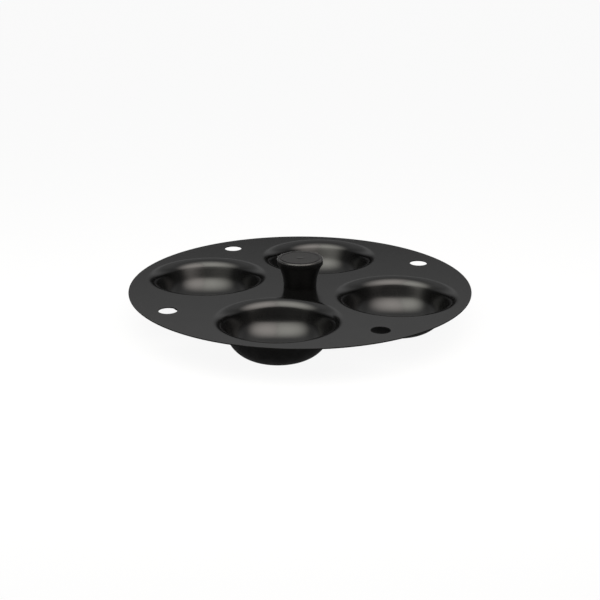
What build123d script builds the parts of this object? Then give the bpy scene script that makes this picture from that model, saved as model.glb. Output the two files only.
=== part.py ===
from build123d import *
from build123d.topology import SkipClean

import math
import os

# Egg poaching tray, in millimetres. It stands on its cups at z = 0 and its axis is Z.
# The cups stand at the corners of a rectangle, and the steam holes lie on X and Y, midway between them.

# Counts, and angles in degrees
cup_rows = 2                     # cups each way
steam_hole_count = 4
close_cups_angle = 84.2          # between two cups that stand close together, seen from the knob
cup_wall_angle = 68.0            # straight wall of a cup, from the plate
spring_washer_slant = 20.0       # of the cut through the washer
down_angle = -90.0
up_angle = 90.0

# Pressed sheet
plate_diameter = 240.0
sheet_thickness = 0.8
rim_margin = 7.2                 # flat sheet between a cup's lip and the rim
pan_seat_inset = 2.7             # flat sheet between a cup's lip and the pan seat
cup_web = 7.6                    # flat sheet between the lips of two close cups
cup_depth = 24.2                 # from the plate's top to a cup's floor
cup_lip_radius = 8.0             # of the coated face, where the plate turns down
cup_bottom_radius = 20.0         # of the coated face, where the wall meets the floor
steam_hole_diameter = 12.6
steam_hole_inset = 18.0          # from the rim to the middle of a hole

# Knob, from its middle outwards and then upwards
insert_diameter = 8.5
knob_boss_wall = 1.6             # moulding round the insert that meets the plate
knob_relief_width = 3.55         # hollow in the base, between the boss and the foot
knob_foot_width = 2.1            # outer ring that the knob seats on
knob_flare_width = 4.2           # by which the sides sweep out towards the top
knob_band_step = 0.4             # by which the band stands out from the sides
knob_relief_depth = 0.6
knob_height = 20.5
knob_band_height = 4.5
knob_top_edge_radius = 1.1
knob_groove_inset = 2.4          # from the knob's outside to the groove in its top
knob_groove_width = 0.5
knob_groove_depth = 0.25

# Insert and fixing
screw_diameter = 5.0
screw_length = 12.0
screw_tip_chamfer = 0.5
screw_tip_room = 1.5             # bore left empty past the screw's tip
screw_head_diameter = 9.5
screw_head_height = 3.6
screw_head_chamfer = 1.2
insert_end_wall = 2.0            # closed end of the bore
insert_groove_width = 3.0        # groove that keys the insert into the moulding
insert_groove_depth = 0.7
plain_washer_diameter = 12.0
plain_washer_thickness = 1.0
spring_washer_diameter = 9.2
spring_washer_thickness = 1.2
spring_washer_gap = 1.0

# Radial clearances
insert_clearance = 0.02          # insert in the moulding
thread_clearance = 0.05          # screw in the insert
washer_clearance = 0.1           # screw in both washers
plate_clearance = 0.25           # screw in the plate

# By which each cutting tool passes the faces that it cuts
cut_overrun = 1.0

# Places and sizes that follow from those above
plate_under = cup_depth
plate_top = plate_under + sheet_thickness
plate_radius = plate_diameter / 2
lip_reach = plate_radius - rim_margin
pan_seat_radius = lip_reach + pan_seat_inset
close_share = math.sin(math.radians(close_cups_angle / 2))
apart_share = math.cos(math.radians(close_cups_angle / 2))
cup_circle_radius = (lip_reach + cup_web / 2) / (1 + close_share)
cup_mouth_radius = lip_reach - cup_circle_radius
steam_hole_circle_radius = plate_radius - steam_hole_inset

screw_radius = screw_diameter / 2
spring_washer_base = plate_under - plain_washer_thickness - spring_washer_thickness
screw_grip = plain_washer_thickness + spring_washer_thickness + sheet_thickness
bore_depth = screw_length - screw_grip + screw_tip_room
insert_radius = insert_diameter / 2
insert_length = bore_depth + insert_end_wall
knob_boss_radius = insert_radius + knob_boss_wall
knob_foot_radius = knob_boss_radius + knob_relief_width
knob_base_radius = knob_foot_radius + knob_foot_width
knob_flare_radius = knob_base_radius + knob_flare_width
knob_top_radius = knob_flare_radius + knob_band_step


def turned(section, base):
    """A solid of revolution about Z from half a section in radius and height, set at a height."""
    return Pos(Z=base) * revolve(Plane.XZ * section, Axis.Z)


def disc(radius, thickness, base):
    return Pos(Z=base) * extrude(Circle(radius), thickness)


def through(radius):
    """A round cutting tool that passes right through the plate."""
    return disc(radius, sheet_thickness + 2 * cut_overrun, plate_under - cut_overrun)


def cup_surface(below):
    """Half of a cup's section, from the floor's middle to the lip, this far below the coated face."""
    wall_sine = math.sin(math.radians(cup_wall_angle))
    wall_cosine = math.cos(math.radians(cup_wall_angle))
    arcs_drop = (cup_lip_radius + cup_bottom_radius) * (1 - wall_cosine)
    arcs_reach = (cup_lip_radius + cup_bottom_radius) * wall_sine
    wall_reach = (cup_depth - arcs_drop) * wall_cosine / wall_sine
    floor_radius = cup_mouth_radius - arcs_reach - wall_reach
    bottom_centre = (floor_radius, cup_bottom_radius - cup_depth)
    lip_centre = (cup_mouth_radius, -cup_lip_radius)
    bottom = CenterArc(bottom_centre, cup_bottom_radius + below, down_angle, cup_wall_angle)
    lip = CenterArc(lip_centre, cup_lip_radius - below, up_angle + cup_wall_angle, -cup_wall_angle)
    floor = Line((0, -cup_depth - below), bottom @ 0)
    wall = Line(bottom @ 1, lip @ 0)
    return [floor, bottom, wall, lip]


def cup():
    """One drawn cup, of the sheet's thickness all over, with its axis on Z."""
    inside = cup_surface(0)
    outside = cup_surface(sheet_thickness)
    axis_edge = Line(outside[0] @ 0, inside[0] @ 0)
    mouth_edge = Line(inside[-1] @ 1, outside[-1] @ 1)
    return turned(make_face(inside + outside + [axis_edge, mouth_edge]), plate_top)


def cup_places():
    """The corners of a rectangle round the knob, a little longer along Y than along X."""
    spacing = 2 * cup_circle_radius
    return GridLocations(spacing * close_share, spacing * apart_share, cup_rows, cup_rows)


def steam_hole_places():
    return PolarLocations(steam_hole_circle_radius, steam_hole_count)


def poaching_tray():
    """The pressing: plate, cups and holes. The ring that lies on a pan's rim keeps faces of its own."""
    plate = disc(pan_seat_radius, sheet_thickness, plate_under)
    plate -= [place * through(cup_mouth_radius) for place in cup_places()]
    plate -= [place * through(steam_hole_diameter / 2) for place in steam_hole_places()]
    plate -= through(screw_radius + plate_clearance)
    plate += [place * cup() for place in cup_places()]
    margin = disc(plate_radius, sheet_thickness, plate_under) - through(pan_seat_radius)
    with SkipClean():
        return plate.fuse(margin)


def insert_body(clearance):
    """The outside of the insert, or with a clearance the space that it fills in the moulding."""
    radius = insert_radius + clearance
    groove_radius = radius - insert_groove_depth
    groove_start = (insert_length - insert_groove_width) / 2 + clearance
    groove_end = (insert_length + insert_groove_width) / 2 - clearance
    top = insert_length + clearance
    outline = Polyline(
        (0, 0), (radius, 0), (radius, groove_start), (groove_radius, groove_start),
        (groove_radius, groove_end), (radius, groove_end), (radius, top), (0, top),
        close=True,
    )
    return turned(make_face(outline), plate_top)


def knob_insert():
    return insert_body(0) - disc(screw_radius + thread_clearance, bore_depth, plate_top)


def knob():
    """The moulded knob: a hollowed base, sides that sweep out, an upright band and a grooved flat top."""
    band_base = knob_height - knob_band_height
    groove_outside = knob_top_radius - knob_groove_inset
    groove_inside = groove_outside - knob_groove_width
    groove_floor = knob_height - knob_groove_depth
    base = Polyline(
        (0, 0), (knob_boss_radius, 0), (knob_boss_radius, knob_relief_depth),
        (knob_foot_radius, knob_relief_depth), (knob_foot_radius, 0), (knob_base_radius, 0),
    )
    side = TangentArc((knob_base_radius, 0), (knob_flare_radius, band_base), tangent=(0, 1))
    top = Polyline(
        (knob_flare_radius, band_base), (knob_top_radius, band_base),
        (knob_top_radius, knob_height), (groove_outside, knob_height),
        (groove_outside, groove_floor), (groove_inside, groove_floor),
        (groove_inside, knob_height), (0, knob_height), (0, 0),
    )
    section = make_face([base, side, top])
    band_corners = section.vertices().group_by(Axis.X)[-1]
    section = fillet(band_corners.sort_by(Axis.Y)[-1], knob_top_edge_radius)
    return turned(section, plate_top) - insert_body(insert_clearance)


def washer(diameter, thickness, base):
    return disc(diameter / 2, thickness, base) - disc(screw_radius + washer_clearance, thickness, base)


def plain_washer():
    base = plate_under - plain_washer_thickness
    return washer(plain_washer_diameter, plain_washer_thickness, base)


def spring_washer():
    """A split washer, pressed flat, with a slanting cut through one side."""
    ring = washer(spring_washer_diameter, spring_washer_thickness, spring_washer_base)
    cut_height = 2 * (spring_washer_thickness + cut_overrun)
    cutter = Box(spring_washer_diameter, spring_washer_gap, cut_height)
    middle = spring_washer_base + spring_washer_thickness / 2
    return ring - Pos(spring_washer_diameter / 2, 0, middle) * Rot(X=spring_washer_slant) * cutter


def fixing_screw():
    """The screw that comes up from below, with its head under the washers."""
    head_base = spring_washer_base - screw_head_height
    head = disc(screw_head_diameter / 2, screw_head_height, head_base)
    head = chamfer(head.edges().sort_by(Axis.Z)[0], screw_head_chamfer)
    shank = disc(screw_radius, screw_length, spring_washer_base)
    shank = chamfer(shank.edges().sort_by(Axis.Z)[-1], screw_tip_chamfer)
    return head + shank


pieces = {
    "poaching_tray": poaching_tray(),
    "knob": knob(),
    "knob_insert": knob_insert(),
    "plain_washer": plain_washer(),
    "spring_washer": spring_washer(),
    "fixing_screw": fixing_screw(),
}

os.makedirs("parts", exist_ok=True)
for name, piece in pieces.items():
    export_step(piece, f"parts/{name}.step")
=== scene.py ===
import math

import bmesh
import bpy
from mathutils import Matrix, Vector


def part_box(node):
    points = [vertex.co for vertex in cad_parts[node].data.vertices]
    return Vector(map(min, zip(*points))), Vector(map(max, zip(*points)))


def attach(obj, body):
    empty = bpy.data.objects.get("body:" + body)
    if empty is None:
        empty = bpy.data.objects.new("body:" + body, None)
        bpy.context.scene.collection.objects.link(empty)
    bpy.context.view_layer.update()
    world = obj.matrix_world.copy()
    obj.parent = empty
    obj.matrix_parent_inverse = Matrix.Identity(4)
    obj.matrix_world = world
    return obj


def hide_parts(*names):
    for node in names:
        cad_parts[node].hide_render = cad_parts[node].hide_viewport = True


bl_info = {
    "name": "Egg Poaching Tray",
    "version": (1, 0, 0),
    "blender": (4, 5, 0),
    "location": "View3D > Sidebar > Poaching Tray",
    "description": "Models a round egg poaching tray with four drawn cups and a knob, in a plain studio",
    "category": "Object",
}

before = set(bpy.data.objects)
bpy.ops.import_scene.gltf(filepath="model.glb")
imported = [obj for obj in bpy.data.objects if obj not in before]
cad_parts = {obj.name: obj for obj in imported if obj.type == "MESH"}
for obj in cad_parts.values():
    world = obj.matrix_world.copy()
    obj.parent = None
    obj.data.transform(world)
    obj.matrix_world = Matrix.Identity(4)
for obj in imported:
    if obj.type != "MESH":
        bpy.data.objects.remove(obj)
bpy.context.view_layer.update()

tray_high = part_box("poaching_tray")[1]
knob_low, knob_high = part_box("knob")
insert_low, insert_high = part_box("knob_insert")
washer_low, washer_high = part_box("plain_washer")
spring_low, spring_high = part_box("spring_washer")
screw_low, screw_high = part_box("fixing_screw")

millimetre = 0.001
weld_distance = millimetre / 1000    # within which two points of a mesh are one


def measured(name, description, size):
    """A size in metres. The panel shows it in the scene's unit."""
    return bpy.props.FloatProperty(name=name, description=description, default=size, min=0.0, unit="LENGTH")


def length(name, description, size):
    """A size that is given here in millimetres."""
    return measured(name, description, size * millimetre)


def turn_angle(name, description, degrees):
    return bpy.props.FloatProperty(
        name=name, description=description, default=math.radians(degrees), subtype="ANGLE"
    )


def strength(name, description, level):
    return bpy.props.FloatProperty(name=name, description=description, default=level, min=0.0)


def linear(colour):
    """An sRGB hex colour as a linear colour with an alpha of one."""
    channels = [int(colour[place:place + 2], 16) / 255 for place in (1, 3, 5)]
    return [c / 12.92 if c <= 0.04045 else ((c + 0.055) / 1.055) ** 2.4 for c in channels] + [1.0]


def finish_colour(name, description, colour):
    return bpy.props.FloatVectorProperty(
        name=name, description=description, default=linear(colour), size=4, min=0.0, max=1.0, subtype="COLOR"
    )


class TraySizes(bpy.types.PropertyGroup):
    """Sizes of the pressed sheet."""

    plate_diameter: measured("Plate diameter", "Across the rim", 2 * tray_high.x)
    sheet_thickness: length("Sheet thickness", "Of the pressed sheet with its coating", 0.8)
    rim_margin: length("Rim margin", "Flat sheet between a cup's lip and the rim", 7.2)
    close_cups_angle: turn_angle("Close cups angle", "Between two close cups, seen from the knob", 84.2)
    cup_web: length("Web", "Flat sheet between the lips of two close cups", 7.6)
    cup_depth: length("Cup depth", "From the plate's top to a cup's floor", 24.2)
    cup_lip_radius: length("Lip radius", "Where the plate turns down into a cup", 8.0)
    cup_bottom_radius: length("Bottom radius", "Where a cup's wall turns into its floor", 20.0)
    cup_wall_angle: turn_angle("Wall angle", "Of a cup's straight wall, from the plate", 68.0)
    cup_border: length("Cup border", "Flat sheet at a cup's lip and floor, drawn with the cup", 0.8)
    steam_hole_diameter: length("Steam hole", "Across one steam hole", 12.6)
    steam_hole_inset: length("Steam hole inset", "From the rim to the middle of a hole", 18.0)
    screw_hole_diameter: length("Screw hole", "Across the hole under the knob", 5.5)
    edge_radius: length("Edge radius", "Rounding of the cut edges", 0.3)


class KnobSizes(bpy.types.PropertyGroup):
    """Sizes of the moulded knob."""

    top_diameter: measured("Top diameter", "Across the band at the knob's top", 2 * knob_high.x)
    base_diameter: length("Base diameter", "Across the foot on the plate", 23.0)
    foot_width: length("Foot width", "Of the ring that the knob seats on", 2.1)
    boss_wall: length("Boss wall", "Moulding round the insert", 1.6)
    relief_depth: length("Relief depth", "Of the hollow between boss and foot", 0.6)
    band_height: length("Band height", "Of the upright band", 4.5)
    band_step: length("Band step", "By which the band stands out from the sides", 0.4)
    band_edge_radius: length("Band edge radius", "Lower edge of the band", 0.35)
    top_edge_radius: length("Top edge radius", "Upper edge of the band", 1.1)
    small_edge_radius: length("Small edge radius", "Rounding of the other edges", 0.1)
    groove_inset: length("Groove inset", "From the outside to the groove in the top", 2.4)
    groove_width: length("Groove width", "Of the groove in the top", 0.5)
    groove_depth: length("Groove depth", "Of the groove in the top", 0.25)
    dimple_diameter: length("Dimple diameter", "Across the shallow hollow in the middle of the top", 5.0)
    dimple_depth: length("Dimple depth", "Of the shallow hollow in the middle of the top", 0.3)


class FixingSizes(bpy.types.PropertyGroup):
    """Sizes of the screw, washers and insert."""

    screw_diameter: length("Screw diameter", "Over the thread", 5.0)
    thread_pitch: length("Thread pitch", "From one thread to the next", 0.8)
    tip_chamfer: length("Tip chamfer", "At the screw's end", 0.5)
    head_edge_radius: length("Head edge radius", "Rounding of the screw's head", 1.8)
    recess_width: length("Recess width", "Across the cross recess", 4.4)
    recess_slot: length("Recess slot", "Of each arm of the cross recess", 1.0)
    recess_depth: length("Recess depth", "Of the cross recess", 1.9)
    washer_hole: length("Washer hole", "Across the hole of both washers", 5.2)
    washer_edge_radius: length("Washer edge radius", "Rounding of both washers' edges", 0.15)
    spring_gap: length("Spring gap", "Of the split washer", 1.0)
    spring_slant: turn_angle("Spring slant", "Of the cut through the split washer", 20.0)
    bore_diameter: length("Bore diameter", "Of the insert", 5.1)
    bore_depth: length("Bore depth", "Of the insert", 10.5)
    insert_chamfer: length("Insert chamfer", "At the ends of the insert and of its bore", 0.4)
    insert_groove_width: length("Insert groove width", "Of the groove that keys the insert", 3.0)
    insert_groove_depth: length("Insert groove depth", "Of the groove that keys the insert", 0.7)
    knurl_depth: length("Knurl depth", "Of the knurled bands", 0.15)


class Finishes(bpy.types.PropertyGroup):
    """Colours of the finishes."""

    coating: finish_colour("Coating", "Non-stick coating on the sheet", "#080808")
    coating_fleck: finish_colour("Coating fleck", "Lighter filler in the coating", "#0f0f0f")
    phenolic: finish_colour("Phenolic", "Moulded knob", "#040404")
    # painted sheen: the knob's top is drawn in a lighter grey than its sides
    phenolic_painted_sheen: finish_colour("Phenolic, painted sheen", "Top of the knob, painted lighter as a sheen", "#1e1d1d")
    phenolic_filler: finish_colour("Phenolic filler", "Filler that shows in the moulding", "#2a2826")
    brass: finish_colour("Brass", "Turned insert", "#c7a35a")
    brass_dull: finish_colour("Dull brass", "Brass where it has tarnished", "#a8864a")
    zinc: finish_colour("Zinc", "Bright plating on the screw and washers", "#c8cacc")
    zinc_passive: finish_colour("Passivated zinc", "Bluish film on the plating", "#b2bac6")
    underside: finish_colour("Underside", "Matt black under the sheet", "#060606")
    underside_dust: finish_colour("Underside dust", "Paler overspray under the sheet", "#0c0c0c")
    floor: finish_colour("Floor", "Studio floor", "#ffffff")
    felt: finish_colour("Felt", "Black flags round the tray", "#030303")
    left_light: finish_colour("Left light", "Colour of the left softbox", "#fffdf3")
    right_light: finish_colour("Right light", "Colour of the right softbox", "#fff7f0")


class StudioSettings(bpy.types.PropertyGroup):
    """Camera and lights."""

    azimuth: turn_angle("Azimuth", "Of the camera round the tray", -30.35)
    elevation: turn_angle("Elevation", "Of the camera over the plate", 18.95)
    distance: length("Distance", "From the camera to the middle of the plate", 881.4)
    focal_length: length("Focal length", "Of the lens", 75.0)
    aim_drop: length("Aim drop", "From the plate's top down to the point aimed at", 11.0)
    softbox_elevation: turn_angle("Softbox elevation", "Over the plate, on the camera's side", 60.0)
    softbox_distance: length("Softbox distance", "From the plate to the plane of the softboxes", 321.0)
    softbox_width: length("Softbox width", "Of each softbox", 760.0)
    softbox_height: length("Softbox height", "Of each softbox", 610.0)
    softbox_raise: length("Softbox raise", "By which the softboxes are pushed up in their plane", 115.0)
    softbox_gap: length("Softbox gap", "Between the two softboxes", 4.0)
    softbox_level: strength("Softbox level", "Brightness of the softboxes where they are brightest", 3.6)
    flag_distance: length("Flag distance", "From the tray to the black flags round it", 3000.0)
    flag_elevation: turn_angle("Flag elevation", "Of the flags' upper edge, seen from the tray", 15.5)
    room_near: strength("Room, near", "Brightness of the room on the camera's side", 0.05)
    room_far: strength("Room, far", "Brightness of the room behind the tray", 0.44)
    ceiling_level: strength("Ceiling level", "Brightness that the ceiling adds above the tray", 0.4)
    floor_radius: length("Floor radius", "From the tray to the floor's edge", 40000.0)
    floor_drop: length("Floor drop", "From the tray's base down to the floor", 0.1)


class StudioTools:
    """What each operator shares."""

    bl_options = {"REGISTER", "UNDO"}


def deselect_all():
    """Leaves object mode with nothing selected."""
    if bpy.context.object is not None and bpy.context.object.mode != "OBJECT":
        bpy.ops.object.mode_set(mode="OBJECT")
    bpy.ops.object.select_all(action="DESELECT")


def arc(centre, radius, start, end, steps):
    """Points of radius and height along an arc, from one angle to another."""
    angles = [start + (end - start) * step / steps for step in range(steps + 1)]
    return [(centre[0] + radius * math.cos(a), centre[1] + radius * math.sin(a)) for a in angles]


def start_rings(name, outline, segments, axis=(0.0, 0.0)):
    """A surface of revolution about an upright axis, drawn out ring by ring from a circle.

    It is left in edit mode with its last ring selected. The first ring is marked as a seam, so that it
    can be found again."""
    deselect_all()
    radius, height = outline[0]
    bpy.ops.mesh.primitive_circle_add(vertices=segments, radius=radius, location=(*axis, height))
    piece = bpy.context.object
    piece.name = name
    bpy.ops.object.mode_set(mode="EDIT")
    bpy.ops.mesh.select_mode(type="EDGE")
    bpy.ops.mesh.select_all(action="SELECT")
    bpy.ops.mesh.mark_seam()
    for next_radius, next_height in outline[1:]:
        bpy.ops.mesh.extrude_edges_move(TRANSFORM_OT_translate={"value": (0, 0, next_height - height)})
        bpy.ops.mesh.mark_seam(clear=True)
        share = next_radius / radius
        bpy.ops.transform.resize(value=(share, share, 1), center_override=(*axis, next_height))
        radius, height = next_radius, next_height
    return piece


def cap_ring():
    """Closes the selected ring with one flat face."""
    bpy.ops.mesh.edge_face_add()


def cap_both_ends():
    """Closes the last ring, which is selected, and then the first."""
    cap_ring()
    bpy.ops.mesh.select_all(action="DESELECT")
    bpy.ops.mesh.select_non_manifold(
        use_wire=False, use_multi_face=False, use_non_contiguous=False, use_verts=False
    )
    cap_ring()
    face_outwards()


def close_section():
    """Joins the last ring to the first, where an outline ends where it starts."""
    bpy.ops.mesh.select_all(action="SELECT")
    bpy.ops.mesh.remove_doubles(threshold=weld_distance)


def face_outwards():
    bpy.ops.mesh.select_all(action="SELECT")
    bpy.ops.mesh.mark_seam(clear=True)
    bpy.ops.mesh.normals_make_consistent(inside=False)


def turned_solid(name, outline, segments):
    """A closed solid of revolution about Z, left in object mode."""
    piece = start_rings(name, outline, segments)
    cap_both_ends()
    bpy.ops.object.mode_set(mode="OBJECT")
    return piece


def select_parts(piece, kind, wanted):
    """Selects the vertices or faces whose middle is wanted, by its place in the scene."""
    bpy.ops.mesh.select_mode(type=kind)
    bpy.ops.mesh.select_all(action="DESELECT")
    mesh = bmesh.from_edit_mesh(piece.data)
    for part in mesh.verts if kind == "VERT" else mesh.faces:
        middle = part.co if kind == "VERT" else part.calc_center_median()
        part.select_set(wanted(piece.matrix_world @ middle))
    mesh.select_flush_mode()
    bmesh.update_edit_mesh(piece.data)


def apply_modifier(piece, kind, **settings):
    """Adds one modifier with its settings and applies it."""
    modifier = piece.modifiers.new(kind.title(), kind)
    for setting, value in settings.items():
        setattr(modifier, setting, value)
    bpy.context.view_layer.objects.active = piece
    bpy.ops.object.modifier_apply(modifier=modifier.name)


def round_edges(piece, radius, segments, least_turn):
    """Rounds the edges at which a piece turns by more than an angle."""
    apply_modifier(piece, "BEVEL", width=radius, segments=segments, limit_method="ANGLE",
                   angle_limit=least_turn)


def combine(piece, operation, other):
    """Joins another closed mesh to a piece, cuts it out or keeps what they share. The other is used up."""
    deselect_all()
    apply_modifier(piece, "BOOLEAN", operation=operation, object=other, solver="EXACT")
    bpy.data.objects.remove(other)


def place_at_origin(piece):
    """Keeps the mesh where it is and brings the object to the origin."""
    deselect_all()
    piece.select_set(True)
    bpy.context.view_layer.objects.active = piece
    bpy.ops.object.transform_apply(location=True, rotation=True, scale=True)


def finish_piece(piece, node, material, smooth_angle):
    """Shades a piece, gives it its finish unless it has its own, and ties it to its node."""
    place_at_origin(piece)
    bpy.ops.object.shade_smooth_by_angle(angle=smooth_angle)
    if material is not None:
        piece.data.materials.clear()
        piece.data.materials.append(material)
    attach(piece, "root")
    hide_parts(node)


def add_node(tree, kind, inputs=None, **settings):
    """Adds a node of one kind, sets its settings, and links or sets its inputs."""
    node = tree.nodes.new(kind)
    for setting, value in settings.items():
        setattr(node, setting, value)
    for socket, value in (inputs or {}).items():
        if isinstance(value, bpy.types.NodeSocket):
            tree.links.new(value, node.inputs[socket])
        else:
            node.inputs[socket].default_value = value
    return node


def new_material(name):
    material = bpy.data.materials.new(name)
    material.use_nodes = True
    material.node_tree.nodes.clear()
    return material, material.node_tree


def grains_per_metre(size):
    """The scale of a texture whose grains are this many millimetres across."""
    return 1 / (size * millimetre)


def uneven(tree, place, size, low=0.0, high=1.0, detail=2.0, noise_range=(0.3, 0.7)):
    """A value that wanders between two levels, in grains or patches this many millimetres across."""
    noise = add_node(
        tree, "ShaderNodeTexNoise", {"Vector": place, "Scale": grains_per_metre(size), "Detail": detail}
    )
    return add_node(
        tree, "ShaderNodeMapRange",
        {"Value": noise.outputs["Fac"], "From Min": noise_range[0], "From Max": noise_range[1],
         "To Min": low, "To Max": high},
    ).outputs["Result"]


def finish_surface(tree, colours, patches, grain, grain_depth, shine):
    """Ends a material: two colours in patches, under a grain that is this many millimetres deep."""
    colour = add_node(
        tree, "ShaderNodeMix", {"Factor": patches, "A": colours[0], "B": colours[1]}, data_type="RGBA"
    )
    relief = add_node(tree, "ShaderNodeBump", {"Height": grain, "Distance": grain_depth * millimetre})
    surface = add_node(
        tree, "ShaderNodeBsdfPrincipled",
        {"Base Color": colour.outputs["Result"], "Normal": relief.outputs["Normal"], **shine},
    )
    add_node(tree, "ShaderNodeOutputMaterial", {"Surface": surface.outputs["BSDF"]})


def sprayed_non_stick_coating(finishes):
    """A fluoropolymer coating, sprayed on drawn sheet and baked.

    The eye sees a near-black satin skin with a fine pebble from the spray, and paler specks of filler.
    The drawn walls of the cups show faint lines that run down them, where the die stretched the sheet."""
    material, tree = new_material("sprayed_non_stick_coating")
    place = add_node(tree, "ShaderNodeTexCoord").outputs["Object"]

    # lines down the walls: the attribute holds the direction from the cup's axis and the share of the depth
    drawing = add_node(tree, "ShaderNodeAttribute", attribute_name="drawing").outputs["Vector"]
    depth_share = add_node(tree, "ShaderNodeSeparateXYZ", {"Vector": drawing}).outputs["Z"]
    along_wall = (1.0, 1.0, 0.04)    # a line is many times as long as it is wide
    stretched = add_node(tree, "ShaderNodeVectorMath", {0: drawing, 1: along_wall}, operation="MULTIPLY")
    wall_radius = 40.0    # from the cup's axis, in millimetres
    line_spacing = 1.0    # there, in millimetres
    lines = add_node(
        tree, "ShaderNodeTexNoise",
        {"Vector": stretched.outputs["Vector"], "Scale": wall_radius / line_spacing, "Detail": 2.0},
    )
    # they begin below the lip and end in the bottom's curve, at shares of the depth
    down = add_node(tree, "ShaderNodeMapRange", {"Value": depth_share, "From Min": 0.1, "From Max": 0.35})
    up = add_node(tree, "ShaderNodeMapRange",
                  {"Value": depth_share, "From Min": 0.75, "From Max": 1.0, "To Min": 1.0, "To Max": 0.0})
    on_wall = add_node(tree, "ShaderNodeMath", {0: down.outputs["Result"], 1: up.outputs["Result"]},
                       operation="MULTIPLY")
    wall_lines = add_node(tree, "ShaderNodeMath", {0: lines.outputs["Fac"], 1: on_wall.outputs["Value"]},
                          operation="MULTIPLY")
    line_roughness = 0.06
    roughness = add_node(
        tree, "ShaderNodeMath",
        {0: wall_lines.outputs["Value"], 1: line_roughness,
         2: uneven(tree, place, size=14.0, low=0.15, high=0.19)},
        operation="MULTIPLY_ADD",
    )
    finish_surface(
        tree, (finishes.coating, finishes.coating_fleck),
        # real filler is some 0.05 mm, too fine to show
        patches=uneven(tree, place, size=0.7, detail=3.0, noise_range=(0.5, 0.72)),
        grain=uneven(tree, place, size=0.9), grain_depth=0.0012,
        shine={"Roughness": roughness.outputs["Value"], "IOR": 1.6},
    )
    return material


def matt_black_underside(finishes):
    """Thin heat-resistant black, sprayed under the sheet: dead matt and dusty, with almost no shine."""
    material, tree = new_material("matt_black_underside")
    place = add_node(tree, "ShaderNodeTexCoord").outputs["Object"]
    overspray = uneven(tree, place, size=1.2, detail=4.0)    # real grains are finer, and wouldn't show
    finish_surface(
        tree, (finishes.underside, finishes.underside_dust),
        patches=overspray, grain=overspray, grain_depth=0.01,
        shine={"Roughness": uneven(tree, place, size=6.0, low=0.7, high=0.82),
               "IOR": 1.5, "Specular IOR Level": 0.05},
    )
    return material


def phenolic(name, finishes, colour, roughness, shine):
    """Compression-moulded phenolic: black and hard, with grains of paler filler.

    The sides keep the satin of the mould and look almost dead black. The top is rubbed smooth, and its colour
    is painted lighter as a sheen."""
    material, tree = new_material(name)
    place = add_node(tree, "ShaderNodeTexCoord").outputs["Object"]
    wander = 0.03    # of the roughness, up and down
    finish_surface(
        tree, (colour, finishes.phenolic_filler),
        # wood flour is some 0.1 mm, drawn coarser so that it shows
        patches=uneven(tree, place, size=0.5, high=0.35, detail=3.0, noise_range=(0.55, 0.8)),
        grain=uneven(tree, place, size=0.8), grain_depth=0.001,
        shine={"Roughness": uneven(tree, place, size=3.0, low=roughness - wander, high=roughness + wander),
               "IOR": 1.6, "Specular IOR Level": shine},
    )
    return material


def turned_brass(finishes):
    """Free-cutting brass straight from the lathe: warm and bright, with fine rings from the tool."""
    material, tree = new_material("turned_brass")
    place = add_node(tree, "ShaderNodeTexCoord").outputs["Object"]
    feed = 0.15    # of the tool for each turn, in millimetres
    wave_length = math.pi / 10    # of a wave texture whose scale is one
    rings = add_node(
        tree, "ShaderNodeTexWave",
        {"Vector": place, "Scale": wave_length * grains_per_metre(feed), "Distortion": 0.4, "Detail": 1.0},
        wave_type="BANDS", bands_direction="Z",
    )
    finish_surface(
        tree, (finishes.brass, finishes.brass_dull),
        patches=uneven(tree, place, size=2.5, high=0.7),
        grain=rings.outputs["Fac"], grain_depth=0.002,
        shine={"Metallic": 1.0, "Roughness": uneven(tree, place, size=1.5, low=0.22, high=0.3)},
    )
    return material


def bright_zinc_plate(finishes):
    """Bright zinc on rolled and headed steel: pale, with a bluish film in patches and finely rough."""
    material, tree = new_material("bright_zinc_plate")
    place = add_node(tree, "ShaderNodeTexCoord").outputs["Object"]
    finish_surface(
        tree, (finishes.zinc, finishes.zinc_passive),
        patches=uneven(tree, place, size=1.8),
        # the plating's grain is some 0.05 mm, drawn coarser so that it shows
        grain=uneven(tree, place, size=0.25), grain_depth=0.0008,
        shine={"Metallic": 1.0, "Roughness": uneven(tree, place, size=0.6, low=0.26, high=0.38)},
    )
    return material


def studio_floor(finishes):
    """Seamless paper: pale and matt. It shows at full white and keeps the tray's shadow."""
    material, tree = new_material("seamless_paper")
    paper = add_node(tree, "ShaderNodeBsdfDiffuse", {"Color": finishes.floor})
    glow = add_node(tree, "ShaderNodeEmission", {"Color": finishes.floor, "Strength": 1.0})
    path = add_node(tree, "ShaderNodeLightPath")
    seen = path.outputs["Is Camera Ray"]
    for ray in ("Is Glossy Ray", "Is Transmission Ray"):
        seen = add_node(tree, "ShaderNodeMath", {0: seen, 1: path.outputs[ray]},
                        operation="MAXIMUM").outputs["Value"]
    white_share = 0.92    # the rest is lit paper, which keeps the shadow
    share = add_node(tree, "ShaderNodeMath", {0: seen, 1: white_share}, operation="MULTIPLY")
    surface = add_node(
        tree, "ShaderNodeMixShader",
        {"Fac": share.outputs["Value"], 1: paper.outputs["BSDF"], 2: glow.outputs["Emission"]},
    )
    add_node(tree, "ShaderNodeOutputMaterial", {"Surface": surface.outputs["Shader"]})
    return material


def black_felt(finishes):
    """Felt over the flags: it only has to be black."""
    material, tree = new_material("black_felt")
    felt = add_node(tree, "ShaderNodeBsdfDiffuse", {"Color": finishes.felt})
    add_node(tree, "ShaderNodeOutputMaterial", {"Surface": felt.outputs["BSDF"]})
    return material


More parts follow.
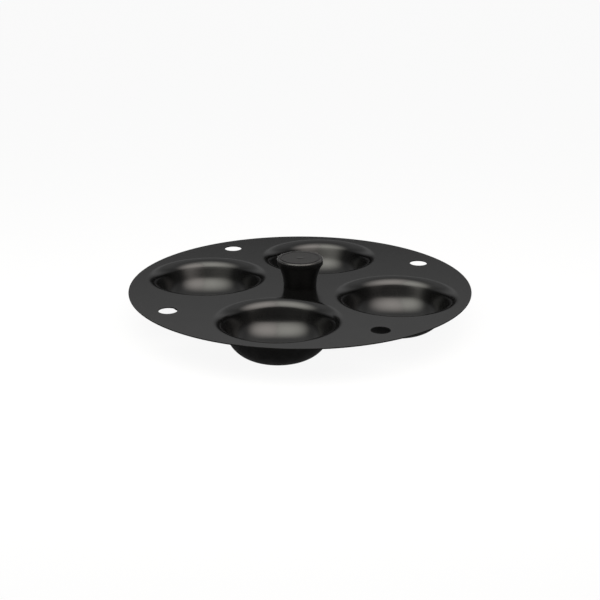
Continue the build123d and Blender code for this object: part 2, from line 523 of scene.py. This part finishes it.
def fade_softbox(softbox, inner_side):
    """Makes a softbox fade from near its inner side, 0 or 1 across it, to its other sides."""
    softbox.use_nodes = True
    tree = softbox.node_tree
    tree.nodes.clear()
    across = add_node(tree, "ShaderNodeNewGeometry").outputs["Parametric"]
    # places on a softbox, and the shares below, run from 0 to 1 across it and from 0 to 1 up it
    inset = 0.13    # of the brightest place, from the inner side
    brightest = (abs(inner_side - inset), 0.32, 0.0)
    spread = (1.25, 1.46, 0.0)    # the light falls off faster up and down than across
    bottom_fade = 0.08
    away = add_node(tree, "ShaderNodeVectorMath", {0: across, 1: brightest}, operation="SUBTRACT")
    away = add_node(tree, "ShaderNodeVectorMath", {0: away.outputs["Vector"], 1: spread},
                    operation="MULTIPLY")
    away = add_node(tree, "ShaderNodeVectorMath", {0: away.outputs["Vector"]}, operation="LENGTH")
    falloff = add_node(
        tree, "ShaderNodeMapRange",
        {"Value": away.outputs["Value"], "From Min": 0.0, "From Max": 1.0, "To Min": 1.0, "To Max": 0.0},
        interpolation_type="SMOOTHSTEP",
    )
    steepness = 1.5
    falloff = add_node(tree, "ShaderNodeMath", {0: falloff.outputs["Result"], 1: steepness},
                       operation="POWER")
    up = add_node(tree, "ShaderNodeSeparateXYZ", {"Vector": across}).outputs["Y"]
    bottom = add_node(tree, "ShaderNodeMapRange", {"Value": up, "From Min": 0.0, "From Max": bottom_fade},
                      interpolation_type="SMOOTHSTEP")
    level = add_node(tree, "ShaderNodeMath", {0: falloff.outputs["Value"], 1: bottom.outputs["Result"]},
                     operation="MULTIPLY")
    light = add_node(tree, "ShaderNodeEmission", {"Strength": level.outputs["Value"]})
    add_node(tree, "ShaderNodeOutputLight", {"Surface": light.outputs["Emission"]})


def plain_room(settings):
    """The room as the tray sees it: dim walls, a lighter ceiling, and pale below the flags' upper edge."""
    world = bpy.data.worlds.new("plain_room")
    world.use_nodes = True
    tree = world.node_tree
    tree.nodes.clear()
    direction = add_node(tree, "ShaderNodeTexCoord").outputs["Generated"]
    height = add_node(tree, "ShaderNodeSeparateXYZ", {"Vector": direction}).outputs["Z"]
    behind = away_from_tray(settings.azimuth + math.pi, 0.0)
    farness = add_node(tree, "ShaderNodeVectorMath", {0: direction, 1: behind}, operation="DOT_PRODUCT")
    wall = add_node(
        tree, "ShaderNodeMapRange",
        {"Value": farness.outputs["Value"], "From Min": -0.5, "From Max": 0.7,
         "To Min": settings.room_near, "To Max": settings.room_far},
    )
    level = wall.outputs["Result"]
    # what changes with height, as the sine of the angle over the floor: two heights, and the level at each
    for low, high, low_level, high_level, operation in (
        (0.31, 0.4, 0.42, 1.0, "MULTIPLY"),    # dimmer at the foot of the walls
        (0.45, 0.6, 1.0, 0.2, "MULTIPLY"),    # dimmer at their top
        (0.4, 0.75, 0.0, settings.ceiling_level, "ADD"),    # the ceiling
        (0.235, 0.255, 1.0, 0.0, "ADD"),    # pale below the flags' upper edge
    ):
        change = add_node(
            tree, "ShaderNodeMapRange",
            {"Value": height, "From Min": low, "From Max": high, "To Min": low_level, "To Max": high_level},
        )
        level = add_node(tree, "ShaderNodeMath", {0: level, 1: change.outputs["Result"]},
                         operation=operation).outputs["Value"]
    room = add_node(tree, "ShaderNodeBackground", {"Color": (1, 1, 1, 1), "Strength": level})
    add_node(tree, "ShaderNodeOutputWorld", {"Surface": room.outputs["Background"]})
    return world


def away_from_tray(azimuth, elevation):
    """The direction from the tray at this angle round it and this angle over the floor."""
    level_share = math.cos(elevation)
    return Vector((math.sin(azimuth) * level_share, -math.cos(azimuth) * level_share, math.sin(elevation)))


def cup_outline(sizes, mouth_radius):
    """The coated face of a cup from the plate to its floor, as radius from the cup's axis and height."""
    top = tray_high.z
    wall_angle = sizes.cup_wall_angle
    lip = arc((mouth_radius, top - sizes.cup_lip_radius), sizes.cup_lip_radius,
              math.pi / 2, math.pi / 2 + wall_angle, steps=14)
    arcs_drop = (sizes.cup_lip_radius + sizes.cup_bottom_radius) * (1 - math.cos(wall_angle))
    wall_reach = (sizes.cup_depth - arcs_drop) / math.tan(wall_angle)
    bottom_reach = sizes.cup_bottom_radius * math.sin(wall_angle)
    floor_radius = lip[-1][0] - wall_reach - bottom_reach
    floor_height = top - sizes.cup_depth
    bottom = arc((floor_radius, floor_height + sizes.cup_bottom_radius), sizes.cup_bottom_radius,
                 wall_angle - math.pi / 2, -math.pi / 2, steps=18)
    wall = [tuple(a + (b - a) * share for a, b in zip(lip[-1], bottom[0])) for share in (0.25, 0.5, 0.75)]
    return ([(mouth_radius + sizes.cup_border, top)] + lip + wall + bottom
            + [(floor_radius - sizes.cup_border, floor_height)])


def mark_drawing(piece, axis, top, depth):
    """Gives a cup an attribute that follows its walls: the direction from its axis, and how far down."""
    attribute = piece.data.attributes.new("drawing", "FLOAT_VECTOR", "POINT")
    for vertex, mark in zip(piece.data.vertices, attribute.data):
        spot = piece.matrix_world @ vertex.co
        out = Vector((spot.x - axis[0], spot.y - axis[1]))
        out = out.normalized() if out.length > millimetre else out
        mark.vector = (out.x, out.y, (top - spot.z) / depth)


def fill_between_seams(sheet):
    """Fills the flat plate between the rings that are marked as seams, and faces it upwards."""
    bpy.ops.object.mode_set(mode="EDIT")
    bpy.ops.mesh.select_mode(type="EDGE")
    bpy.ops.mesh.select_all(action="DESELECT")
    mesh = bmesh.from_edit_mesh(sheet.data)
    for edge in mesh.edges:
        edge.select = edge.seam
    bmesh.update_edit_mesh(sheet.data)
    bpy.ops.mesh.fill(use_beauty=True)
    face_outwards()
    mesh = bmesh.from_edit_mesh(sheet.data)
    upward = sum(face.normal.z * face.calc_area() for face in mesh.faces)
    if upward < 0:
        bpy.ops.mesh.flip_normals()
    bpy.ops.object.mode_set(mode="OBJECT")


class TRAY_OT_press_sheet(StudioTools, bpy.types.Operator):
    """Model the pressed sheet: the plate, its cups and its holes"""

    bl_idname = "tray.press_sheet"
    bl_label = "Pressed sheet"

    def execute(self, context):
        sizes = context.scene.tray_sizes
        plate_radius = sizes.plate_diameter / 2
        top = tray_high.z
        edge_width = 2 * sizes.edge_radius
        half_angle = sizes.close_cups_angle / 2
        lip_reach = plate_radius - sizes.rim_margin
        circle_radius = (lip_reach + sizes.cup_web / 2) / (1 + math.sin(half_angle))
        cup_x = circle_radius * math.sin(half_angle)
        cup_y = circle_radius * math.cos(half_angle)
        hole_circle_radius = plate_radius - sizes.steam_hole_inset

        first_cup_axis = (cup_x, cup_y)
        outline = cup_outline(sizes, lip_reach - circle_radius)
        cup = start_rings("cup", outline, segments=128, axis=first_cup_axis)
        cap_ring()
        bpy.ops.object.mode_set(mode="OBJECT")
        mark_drawing(cup, first_cup_axis, top, sizes.cup_depth)
        surfaces = [cup]
        for side_x, side_y in ((-1, 1), (-1, -1), (1, -1)):
            deselect_all()
            cup.select_set(True)
            context.view_layer.objects.active = cup
            bpy.ops.object.duplicate()
            copy = context.object
            copy.location = (side_x * cup_x, side_y * cup_y, cup.location.z)
            surfaces.append(copy)

        # each cut edge: its radius, the way from it into the sheet, its segments and its axis
        cut_edges = [
            ("rim", plate_radius, -edge_width, 256, (0.0, 0.0)),
            ("screw_hole", sizes.screw_hole_diameter / 2, edge_width, 48, (0.0, 0.0)),
        ]
        for side_x, side_y in ((1, 0), (0, 1), (-1, 0), (0, -1)):
            axis = (side_x * hole_circle_radius, side_y * hole_circle_radius)
            cut_edges.append(("steam_hole", sizes.steam_hole_diameter / 2, edge_width, 64, axis))
        for name, radius, inwards, segments, axis in cut_edges:
            surfaces.append(start_rings(name, [(radius + inwards, top), (radius, top)], segments, axis))

        deselect_all()
        for surface in surfaces:
            surface.select_set(True)
        context.view_layer.objects.active = surfaces[0]
        bpy.ops.object.join()
        sheet = context.object
        sheet.name = "pressed_sheet"
        fill_between_seams(sheet)

        finishes = context.scene.tray_finishes
        for material in (sprayed_non_stick_coating(finishes), matt_black_underside(finishes)):
            sheet.data.materials.append(material)
        apply_modifier(sheet, "SOLIDIFY", thickness=sizes.sheet_thickness, offset=-1.0, use_even_offset=True)
        round_edges(sheet, sizes.edge_radius, segments=3, least_turn=math.radians(60))
        # The coating ends at the cut edges, which are matt. Faces are told apart by how far their normal
        # points up: a cup's wall has 0.37, the underside less than 0, and a lip stays over 0.95 near its top.
        least_coated, least_at_top = 0.2, 0.9
        edge_base = top - sizes.edge_radius
        for face in sheet.data.polygons:
            coated = face.normal.z > least_coated
            cut_edge = face.normal.z < least_at_top and face.center.z + sheet.location.z > edge_base
            face.material_index = 0 if coated and not cut_edge else 1
        finish_piece(sheet, "poaching_tray", None, smooth_angle=math.radians(40))
        return {"FINISHED"}


class TRAY_OT_mould_knob(StudioTools, bpy.types.Operator):
    """Model the moulded knob"""

    bl_idname = "tray.mould_knob"
    bl_label = "Knob"

    def execute(self, context):
        sizes = context.scene.knob_sizes
        base, top = knob_low.z, knob_high.z
        top_radius = sizes.top_diameter / 2
        base_radius = sizes.base_diameter / 2
        insert_radius = insert_high.x
        insert_length = insert_high.z - insert_low.z
        band_base = top - sizes.band_height
        flare_radius = top_radius - sizes.band_step

        sweep = flare_radius - base_radius
        rise = band_base - base
        side_radius = (sweep ** 2 + rise ** 2) / (2 * sweep)
        side = arc((base_radius + side_radius, base), side_radius, math.pi,
                   math.pi - math.asin(rise / side_radius), steps=24)
        band_edge = arc((top_radius - sizes.band_edge_radius, band_base + sizes.band_edge_radius),
                        sizes.band_edge_radius, -math.pi / 2, 0, steps=4)
        top_edge = arc((top_radius - sizes.top_edge_radius, top - sizes.top_edge_radius),
                       sizes.top_edge_radius, 0, math.pi / 2, steps=8)
        groove_outside = top_radius - sizes.groove_inset
        groove_inside = groove_outside - sizes.groove_width
        groove_floor = top - sizes.groove_depth
        boss_radius = insert_radius + sizes.boss_wall
        foot_radius = base_radius - sizes.foot_width
        ceiling = base + insert_length
        outline = [
            (insert_radius, ceiling), (insert_radius, base), (boss_radius, base),
            (boss_radius, base + sizes.relief_depth), (foot_radius, base + sizes.relief_depth),
            (foot_radius, base),
        ]
        outline += side + band_edge + top_edge
        outline += [
            (groove_outside, top), (groove_outside, groove_floor), (groove_inside, groove_floor),
            (groove_inside, top), (groove_inside - sizes.groove_width, top),
        ]
        dimple_radius = sizes.dimple_diameter / 2
        dimple_rings = 12    # with the cap in the middle
        bend = (dimple_radius ** 2 + sizes.dimple_depth ** 2) / (2 * sizes.dimple_depth)
        reach = math.asin(dimple_radius / bend)
        outline.append((dimple_radius + sizes.groove_width / 2, top))
        outline += arc((0.0, top - sizes.dimple_depth + bend), bend, reach - math.pi / 2,
                       reach / dimple_rings - math.pi / 2, steps=dimple_rings - 1)
        knob = turned_solid("moulded_knob", outline, segments=128)
        round_edges(knob, sizes.small_edge_radius, segments=2, least_turn=math.radians(50))
        finishes = context.scene.tray_finishes
        for material in (
            phenolic("moulded_phenolic", finishes, finishes.phenolic, roughness=0.35, shine=0.15),
            # the same phenolic with its colour painted lighter, as a painted sheen on the top
            phenolic("sheen_painted_phenolic", finishes, finishes.phenolic_painted_sheen, roughness=0.22, shine=0.55),
        ):
            knob.data.materials.append(material)
        # the top, down to its rounded upper edge, gets the copy whose colour is painted lighter as a sheen
        for face in knob.data.polygons:
            face.material_index = int(face.center.z + knob.location.z > top - sizes.top_edge_radius)
        finish_piece(knob, "knob", None, smooth_angle=math.radians(40))
        return {"FINISHED"}


class TRAY_OT_turn_insert(StudioTools, bpy.types.Operator):
    """Model the turned and knurled insert inside the knob"""

    bl_idname = "tray.turn_insert"
    bl_label = "Insert"

    def execute(self, context):
        sizes = context.scene.fixing_sizes
        segments = 96
        radius, base, top = insert_high.x, insert_low.z, insert_high.z
        bore_radius = sizes.bore_diameter / 2
        chamfer = sizes.insert_chamfer
        groove_radius = radius - sizes.insert_groove_depth
        middle = (base + top) / 2
        groove_base = middle - sizes.insert_groove_width / 2
        groove_top = middle + sizes.insert_groove_width / 2
        outline = [
            (bore_radius, base + sizes.bore_depth), (bore_radius, base + chamfer),
            (bore_radius + chamfer, base), (radius - chamfer, base), (radius, base + chamfer),
            (radius, groove_base), (groove_radius, groove_base), (groove_radius, groove_top),
            (radius, groove_top), (radius, top - chamfer), (radius - chamfer, top),
        ]
        insert = start_rings("turned_insert", outline, segments)
        cap_both_ends()

        def in_knurl(place):
            tooth = round(math.atan2(place.y, place.x) / (2 * math.pi) * segments)
            return tooth % 2 == 0 and place.xy.length > radius - sizes.knurl_depth / 2

        select_parts(insert, "VERT", in_knurl)
        share = 1 - sizes.knurl_depth / radius
        bpy.ops.transform.resize(value=(share, share, 1), center_override=(0, 0, middle))
        bpy.ops.object.mode_set(mode="OBJECT")
        material = turned_brass(context.scene.tray_finishes)
        finish_piece(insert, "knob_insert", material, smooth_angle=math.radians(20))
        return {"FINISHED"}


def split_ring(ring, sizes, height):
    """Cuts a slanting slot through a ring where it crosses X, and closes the two ends."""
    across = Vector((0, math.cos(sizes.spring_slant), math.sin(sizes.spring_slant)))
    middle = Vector((0, 0, height))

    def in_slot(place):
        return place.x > 0 and abs((place - middle).dot(across)) < sizes.spring_gap / 2

    for side in (-1, 1):
        select_parts(ring, "FACE", lambda place: place.x > 0)
        bpy.ops.mesh.bisect(plane_co=middle + across * side * sizes.spring_gap / 2, plane_no=across)
    select_parts(ring, "FACE", in_slot)
    bpy.ops.mesh.delete(type="FACE")
    bpy.ops.mesh.select_all(action="SELECT")
    bpy.ops.mesh.fill_holes(sides=0)
    face_outwards()


class TRAY_OT_stamp_washers(StudioTools, bpy.types.Operator):
    """Model the plain washer and the split spring washer under the plate"""

    bl_idname = "tray.stamp_washers"
    bl_label = "Washers"

    def execute(self, context):
        sizes = context.scene.fixing_sizes
        material = bright_zinc_plate(context.scene.tray_finishes)
        hole_radius = sizes.washer_hole / 2
        for name, node, low, high in (
            ("plain_zinc_washer", "plain_washer", washer_low, washer_high),
            ("split_zinc_washer", "spring_washer", spring_low, spring_high),
        ):
            radius = -low.x    # the split is on the other side
            section = [(hole_radius, low.z), (radius, low.z), (radius, high.z), (hole_radius, high.z),
                       (hole_radius, low.z)]
            washer = start_rings(name, section, segments=96)
            close_section()
            face_outwards()
            if node == "spring_washer":
                split_ring(washer, sizes, (low.z + high.z) / 2)
            bpy.ops.object.mode_set(mode="OBJECT")
            round_edges(washer, sizes.washer_edge_radius, segments=2, least_turn=math.radians(50))
            finish_piece(washer, node, material, smooth_angle=math.radians(40))
        return {"FINISHED"}


def cut_thread(sizes, low, high):
    """A closed length of screw thread about Z between two heights."""
    pitch = sizes.thread_pitch
    root = sizes.screw_diameter / 2 - pitch / 2
    segments = 48
    spare_turns = 3    # past the two heights, where the thread is cut off square
    deselect_all()
    # a square stands on its corner, and the corner at the screw's axis is taken away
    bpy.ops.mesh.primitive_circle_add(vertices=4, radius=pitch / 2, location=(root, 0, low - pitch),
                                      rotation=(math.pi / 2, 0, 0))
    thread = bpy.context.object
    bpy.ops.object.mode_set(mode="EDIT")
    select_parts(thread, "VERT", lambda place: place.x < root - pitch / 4)
    bpy.ops.mesh.delete(type="VERT")
    place_at_origin(thread)
    apply_modifier(thread, "SCREW", axis="Z", angle=2 * math.pi, screw_offset=pitch, steps=segments,
                   render_steps=segments, iterations=math.ceil((high - low) / pitch) + spare_turns)
    bpy.ops.object.mode_set(mode="EDIT")
    close_section()
    for height, way in ((low, -1), (high, 1)):
        bpy.ops.mesh.select_all(action="SELECT")
        bpy.ops.mesh.bisect(plane_co=(0, 0, height), plane_no=(0, 0, way), clear_outer=True, use_fill=True)
    face_outwards()
    bpy.ops.object.mode_set(mode="OBJECT")
    return thread


class TRAY_OT_head_screw(StudioTools, bpy.types.Operator):
    """Model the screw that holds the knob"""

    bl_idname = "tray.head_screw"
    bl_label = "Screw"

    def execute(self, context):
        sizes = context.scene.fixing_sizes
        base, shoulder, tip = screw_low.z, spring_low.z, screw_high.z
        head_radius = screw_high.x
        radius = sizes.screw_diameter / 2
        edge = sizes.head_edge_radius
        overlap = sizes.tip_chamfer    # of the shank into the head
        segments = 96

        outline = arc((head_radius - edge, base + edge), edge, -math.pi / 2, 0, steps=10)
        screw = turned_solid("cross_recess_screw", outline + [(head_radius, shoulder)], segments)

        thread = cut_thread(sizes, shoulder - 2 * overlap, tip + overlap)
        clear = 0.1 * millimetre    # of the blank over the thread's crests
        envelope = [(radius + clear, shoulder - overlap), (radius + clear, tip - sizes.tip_chamfer - clear),
                    (radius - sizes.tip_chamfer, tip)]
        combine(thread, "INTERSECT", turned_solid("blank", envelope, segments))
        combine(screw, "UNION", thread)

        taper = 0.4    # of the recess, from the cutter's outer end to the recess's floor
        outer = 2 / (1 + taper)    # the cutter's outer end, as a share of its size at the head's face
        depth = 2 * sizes.recess_depth    # half of each cutter is below the head
        cutter_size = (outer * sizes.recess_width, outer * sizes.recess_slot, depth)
        for turn in (0, math.pi / 2):
            deselect_all()
            bpy.ops.mesh.primitive_cube_add(size=1, location=(0, 0, base), rotation=(0, 0, turn),
                                            scale=cutter_size)
            arm = context.object
            bpy.ops.object.mode_set(mode="EDIT")
            select_parts(arm, "FACE", lambda place: place.z > base + depth / 4)
            bpy.ops.transform.resize(value=(taper, taper, 1), center_override=(0, 0, base + depth / 2))
            combine(screw, "DIFFERENCE", arm)
        material = bright_zinc_plate(context.scene.tray_finishes)
        finish_piece(screw, "fixing_screw", material, smooth_angle=math.radians(30))
        return {"FINISHED"}


class TRAY_OT_set_up_studio(StudioTools, bpy.types.Operator):
    """Set up the floor, the lights and the camera"""

    bl_idname = "tray.set_up_studio"
    bl_label = "Studio"

    def execute(self, context):
        settings = context.scene.studio_settings
        finishes = context.scene.tray_finishes
        segments = 128
        deselect_all()
        bpy.ops.mesh.primitive_circle_add(vertices=segments, radius=settings.floor_radius,
                                          fill_type="NGON", location=(0, 0, -settings.floor_drop))
        floor = context.object
        floor.name = "studio_floor"
        floor.data.materials.append(studio_floor(finishes))

        plate_middle = Vector((0, 0, tray_high.z))
        flag_height = plate_middle.z + settings.flag_distance * math.tan(settings.flag_elevation)
        outline = [(settings.flag_distance, 0), (settings.flag_distance, flag_height)]
        flags = start_rings("black_flags", outline, segments)
        bpy.ops.object.mode_set(mode="OBJECT")
        flags.data.materials.append(black_felt(finishes))
        flags.visible_camera = False    # only gloss sees them
        flags.visible_diffuse = False
        flags.visible_shadow = False

        toward = away_from_tray(settings.azimuth, settings.softbox_elevation)
        upward = away_from_tray(settings.azimuth, settings.softbox_elevation + math.pi / 2)
        aside = Vector((math.cos(settings.azimuth), math.sin(settings.azimuth), 0.0))
        middle = plate_middle + toward * settings.softbox_distance + upward * settings.softbox_raise
        width, height = settings.softbox_width, settings.softbox_height
        for name, side, inner_side, colour in (
            ("left_softbox", -1, 1, finishes.left_light), ("right_softbox", 1, 0, finishes.right_light),
        ):
            place = middle + aside * side * (width + settings.softbox_gap) / 2
            bpy.ops.object.light_add(type="AREA", location=place)
            softbox = context.object
            softbox.rotation_euler = (-toward).to_track_quat("-Z", "Y").to_euler()
            softbox.name = name
            softbox.data.shape = "RECTANGLE"
            softbox.data.size = width
            softbox.data.size_y = height
            softbox.data.energy = settings.softbox_level * math.pi * width * height
            softbox.data.color = colour[:3]
            softbox.visible_camera = False
            fade_softbox(softbox.data, inner_side)

        context.scene.world = plain_room(settings)

        back = away_from_tray(settings.azimuth, settings.elevation)
        bpy.ops.object.camera_add(location=plate_middle + back * settings.distance)
        camera = context.object
        camera.name = "camera"
        aim = plate_middle - Vector((0, 0, settings.aim_drop))
        camera.rotation_euler = (aim - camera.location).to_track_quat("-Z", "Y").to_euler()
        camera.data.sensor_width = 36.0
        camera.data.lens = settings.focal_length / millimetre
        context.scene.camera = camera
        context.scene.view_settings.view_transform = "Standard"
        return {"FINISHED"}


operators = (
    TRAY_OT_press_sheet,
    TRAY_OT_mould_knob,
    TRAY_OT_turn_insert,
    TRAY_OT_stamp_washers,
    TRAY_OT_head_screw,
    TRAY_OT_set_up_studio,
)

groups = {
    "tray_sizes": TraySizes,
    "knob_sizes": KnobSizes,
    "fixing_sizes": FixingSizes,
    "tray_finishes": Finishes,
    "studio_settings": StudioSettings,
}


class TRAY_PT_panel(bpy.types.Panel):
    """Sizes, finishes and steps of the poaching tray"""

    bl_idname = "TRAY_PT_panel"
    bl_label = "Poaching Tray"
    bl_space_type = "VIEW_3D"
    bl_region_type = "UI"
    bl_category = "Poaching Tray"

    def draw(self, context):
        for operator in operators:
            self.layout.operator(operator.bl_idname)
        for name, group in groups.items():
            box = self.layout.box()
            box.label(text=group.__name__)
            for setting in group.__annotations__:
                box.prop(getattr(context.scene, name), setting)


def register():
    for group in groups.values():
        bpy.utils.register_class(group)
    for operator in operators:
        bpy.utils.register_class(operator)
    bpy.utils.register_class(TRAY_PT_panel)
    for name, group in groups.items():
        setattr(bpy.types.Scene, name, bpy.props.PointerProperty(type=group))


def unregister():
    for name in groups:
        delattr(bpy.types.Scene, name)
    bpy.utils.unregister_class(TRAY_PT_panel)
    for operator in reversed(operators):
        bpy.utils.unregister_class(operator)
    for group in reversed(groups.values()):
        bpy.utils.unregister_class(group)


def main():
    register()
    bpy.ops.tray.press_sheet()
    bpy.ops.tray.mould_knob()
    bpy.ops.tray.turn_insert()
    bpy.ops.tray.stamp_washers()
    bpy.ops.tray.head_screw()
    bpy.ops.tray.set_up_studio()


if __name__ == "__main__":
    main()
